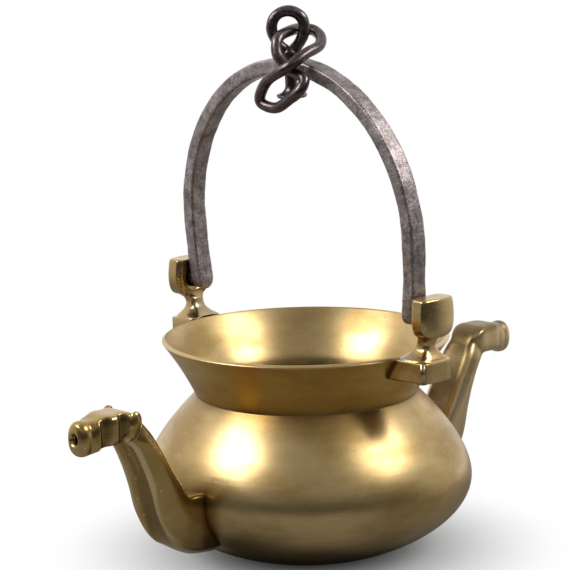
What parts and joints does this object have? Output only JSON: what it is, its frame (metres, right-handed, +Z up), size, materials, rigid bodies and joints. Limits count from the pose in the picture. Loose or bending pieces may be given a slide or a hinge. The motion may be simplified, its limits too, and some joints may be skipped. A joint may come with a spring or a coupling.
{
  "type": "hanging lavabo kettle",
  "caption": "Squat cast-brass hanging kettle with a funnel rim, opposite animal-head spouts and rim lugs that carry a forged-iron bail with a swivel eye and a figure-eight link.",
  "frame": {"origin": "centre of the flat base", "axes": "+Z up, X along the two spouts, Y along the two lugs and the bail's hinge"},
  "size_m": [0.38, 0.229, 0.342],
  "materials": {
    "brass": "old cast brass, worn to a satin shine",
    "forged_iron": "forged, pitted, grey-brown",
    "dark_iron": "forged, dark, with a soft sheen"
  },
  "bodies": {
    "vessel": {"kettle": "brass", "spout_front": "brass", "spout_rear": "brass", "lug_front": "brass", "lug_rear": "brass"},
    "bail": {"bail": "forged_iron"},
    "swivel": {"swivel_eye": "dark_iron"},
    "link": {"figure_eight_link": "dark_iron"}
  },
  "joints": [
    {"name": "bail_swing", "type": "hinge", "parent": "vessel", "child": "bail", "pos_m": [0, 0, 0.161], "axis": [0, 1, 0], "range_deg": [-87, 92]},
    {"name": "swivel_turn", "type": "hinge", "parent": "bail", "child": "swivel", "pos_m": [-0.00756, 0.0012, 0.3053], "axis": [-0.0523, 0, 0.9986], "range_deg": [-40, 3]},
    {"name": "link_swing", "type": "hinge", "parent": "swivel", "child": "link", "pos_m": [-0.00851, 0.00106, 0.32608], "axis": [-0.9681, 0.1203, 0.2198], "range_deg": [0, 80]}
  ]
}
